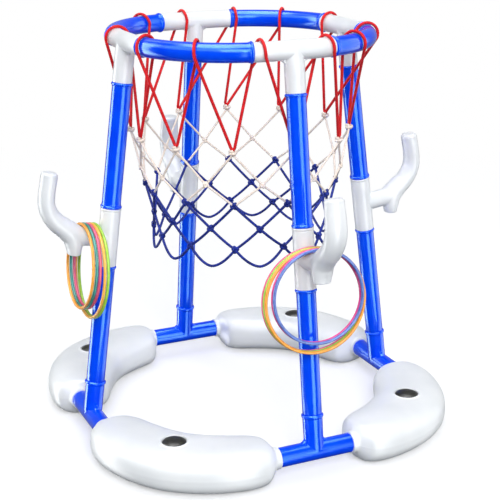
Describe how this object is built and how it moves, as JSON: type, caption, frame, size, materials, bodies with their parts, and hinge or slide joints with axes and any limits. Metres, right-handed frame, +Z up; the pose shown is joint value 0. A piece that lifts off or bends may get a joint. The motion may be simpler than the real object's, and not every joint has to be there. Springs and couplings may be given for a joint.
{
  "type": "floating basketball hoop",
  "caption": "Pool basketball hoop: push-fit tube frame standing on hollow floats, with a knotted net under a round hoop and toss rings hung on side hooks.",
  "frame": {"origin": "middle of the base, on the surface that the floats stand on", "axes": "+Z up through the middle of the hoop and net; the four legs stand on +X, +Y, -X and -Y, and -Y is the front"},
  "size_m": [0.6096, 0.6096, 0.5932],
  "materials": {
    "blue_plastic": "glossy",
    "white_plastic": "satin",
    "black_rubber": "satin",
    "red_cord": "twisted cord",
    "cream_cord": "twisted cord",
    "navy_cord": "twisted cord",
    "orange_plastic": "satin",
    "yellow_plastic": "satin",
    "lime_plastic": "satin",
    "teal_plastic": "satin",
    "pink_plastic": "satin",
    "magenta_plastic": "satin",
    "light_blue_plastic": "satin"
  },
  "bodies": {
    "frame": {"ring_tee_right": "white_plastic", "upper_leg_right": "blue_plastic", "lower_leg_right": "blue_plastic", "base_tee_right": "blue_plastic", "ring_tee_back": "white_plastic", "upper_leg_back": "blue_plastic", "lower_leg_back": "blue_plastic", "base_tee_back": "blue_plastic", "ring_tee_left": "white_plastic", "upper_leg_left": "blue_plastic", "lower_leg_left": "blue_plastic", "base_tee_left": "blue_plastic", "ring_tee_front": "white_plastic", "upper_leg_front": "blue_plastic", "lower_leg_front": "blue_plastic", "base_tee_front": "blue_plastic", "ring_arc_back_right": "blue_plastic", "float_back_right": "white_plastic", "ring_arc_back_left": "blue_plastic", "float_back_left": "white_plastic", "ring_arc_front_left": "blue_plastic", "float_front_left": "white_plastic", "ring_arc_front_right": "blue_plastic", "float_front_right": "white_plastic", "net_hanging_loops": "red_cord", "net_upper_mesh": "cream_cord", "net_lower_mesh": "navy_cord"},
    "hook_right": {"hook_tee_right": "white_plastic"},
    "hook_back": {"hook_tee_back": "white_plastic"},
    "hook_left": {"hook_tee_left": "white_plastic"},
    "hook_front": {"hook_tee_front": "white_plastic"},
    "plug_back_right": {"float_plug_back_right": "black_rubber"},
    "plug_back_left": {"float_plug_back_left": "black_rubber"},
    "plug_front_left": {"float_plug_front_left": "black_rubber"},
    "plug_front_right": {"float_plug_front_right": "black_rubber"},
    "toss_ring_front_1_body": {"toss_ring_front_1": "pink_plastic"},
    "toss_ring_front_2_body": {"toss_ring_front_2": "lime_plastic"},
    "toss_ring_front_3_body": {"toss_ring_front_3": "orange_plastic"},
    "toss_ring_front_4_body": {"toss_ring_front_4": "magenta_plastic"},
    "toss_ring_front_5_body": {"toss_ring_front_5": "light_blue_plastic"},
    "toss_ring_left_1_body": {"toss_ring_left_1": "lime_plastic"},
    "toss_ring_left_2_body": {"toss_ring_left_2": "yellow_plastic"},
    "toss_ring_left_3_body": {"toss_ring_left_3": "pink_plastic"},
    "toss_ring_left_4_body": {"toss_ring_left_4": "teal_plastic"},
    "toss_ring_left_5_body": {"toss_ring_left_5": "orange_plastic"}
  },
  "joints": [
    {"name": "hook_right_swivel", "type": "hinge", "parent": "frame", "child": "hook_right", "pos_m": [0.20665, 0, 0.30166], "axis": [-0.131, 0, 0.9914], "range_deg": [-60, 60]},
    {"name": "hook_back_swivel", "type": "hinge", "parent": "frame", "child": "hook_back", "pos_m": [0, 0.20665, 0.30166], "axis": [0, -0.131, 0.9914], "range_deg": [-60, 60]},
    {"name": "hook_left_swivel", "type": "hinge", "parent": "frame", "child": "hook_left", "pos_m": [-0.20665, 0, 0.30166], "axis": [0.131, 0, 0.9914], "range_deg": [-60, 60]},
    {"name": "hook_front_swivel", "type": "hinge", "parent": "frame", "child": "hook_front", "pos_m": [0, -0.20665, 0.30166], "axis": [0, 0.131, 0.9914], "range_deg": [-60, 60]},
    {"name": "plug_back_right_pull", "type": "slide", "parent": "frame", "child": "plug_back_right", "axis": [0, 0, 1], "range_m": [0, 0.02]},
    {"name": "plug_back_left_pull", "type": "slide", "parent": "frame", "child": "plug_back_left", "axis": [0, 0, 1], "range_m": [0, 0.02]},
    {"name": "plug_front_left_pull", "type": "slide", "parent": "frame", "child": "plug_front_left", "axis": [0, 0, 1], "range_m": [0, 0.02]},
    {"name": "plug_front_right_pull", "type": "slide", "parent": "frame", "child": "plug_front_right", "axis": [0, 0, 1], "range_m": [0, 0.02]},
    {"name": "toss_ring_front_1_swing", "type": "hinge", "parent": "hook_front", "child": "toss_ring_front_1_body", "pos_m": [0, -0.22489, 0.30407], "axis": [-0.0872, -0.9876, 0.1305], "range_deg": [-30, 30]},
    {"name": "toss_ring_front_2_swing", "type": "hinge", "parent": "hook_front", "child": "toss_ring_front_2_body", "pos_m": [0, -0.22984, 0.30473], "axis": [-0.0872, -0.9876, 0.1305], "range_deg": [-30, 30]},
    {"name": "toss_ring_front_3_swing", "type": "hinge", "parent": "hook_front", "child": "toss_ring_front_3_body", "pos_m": [0, -0.2348, 0.30538], "axis": [-0.0872, -0.9876, 0.1305], "range_deg": [-30, 30]},
    {"name": "toss_ring_front_4_swing", "type": "hinge", "parent": "hook_front", "child": "toss_ring_front_4_body", "pos_m": [0, -0.23976, 0.30604], "axis": [-0.0872, -0.9876, 0.1305], "range_deg": [-30, 30]},
    {"name": "toss_ring_front_5_swing", "type": "hinge", "parent": "hook_front", "child": "toss_ring_front_5_body", "pos_m": [0, -0.24471, 0.30669], "axis": [-0.0872, -0.9876, 0.1305], "range_deg": [-30, 30]},
    {"name": "toss_ring_left_1_swing", "type": "hinge", "parent": "hook_left", "child": "toss_ring_left_1_body", "pos_m": [-0.22489, 0, 0.30407], "axis": [-0.9914, 0, 0.131], "range_deg": [-30, 30]},
    {"name": "toss_ring_left_2_swing", "type": "hinge", "parent": "hook_left", "child": "toss_ring_left_2_body", "pos_m": [-0.22984, 0, 0.30473], "axis": [-0.9914, 0, 0.131], "range_deg": [-30, 30]},
    {"name": "toss_ring_left_3_swing", "type": "hinge", "parent": "hook_left", "child": "toss_ring_left_3_body", "pos_m": [-0.2348, 0, 0.30538], "axis": [-0.9914, 0, 0.131], "range_deg": [-30, 30]},
    {"name": "toss_ring_left_4_swing", "type": "hinge", "parent": "hook_left", "child": "toss_ring_left_4_body", "pos_m": [-0.23976, 0, 0.30604], "axis": [-0.9914, 0, 0.131], "range_deg": [-30, 30]},
    {"name": "toss_ring_left_5_swing", "type": "hinge", "parent": "hook_left", "child": "toss_ring_left_5_body", "pos_m": [-0.24471, 0, 0.30669], "axis": [-0.9914, 0, 0.131], "range_deg": [-30, 30]}
  ]
}
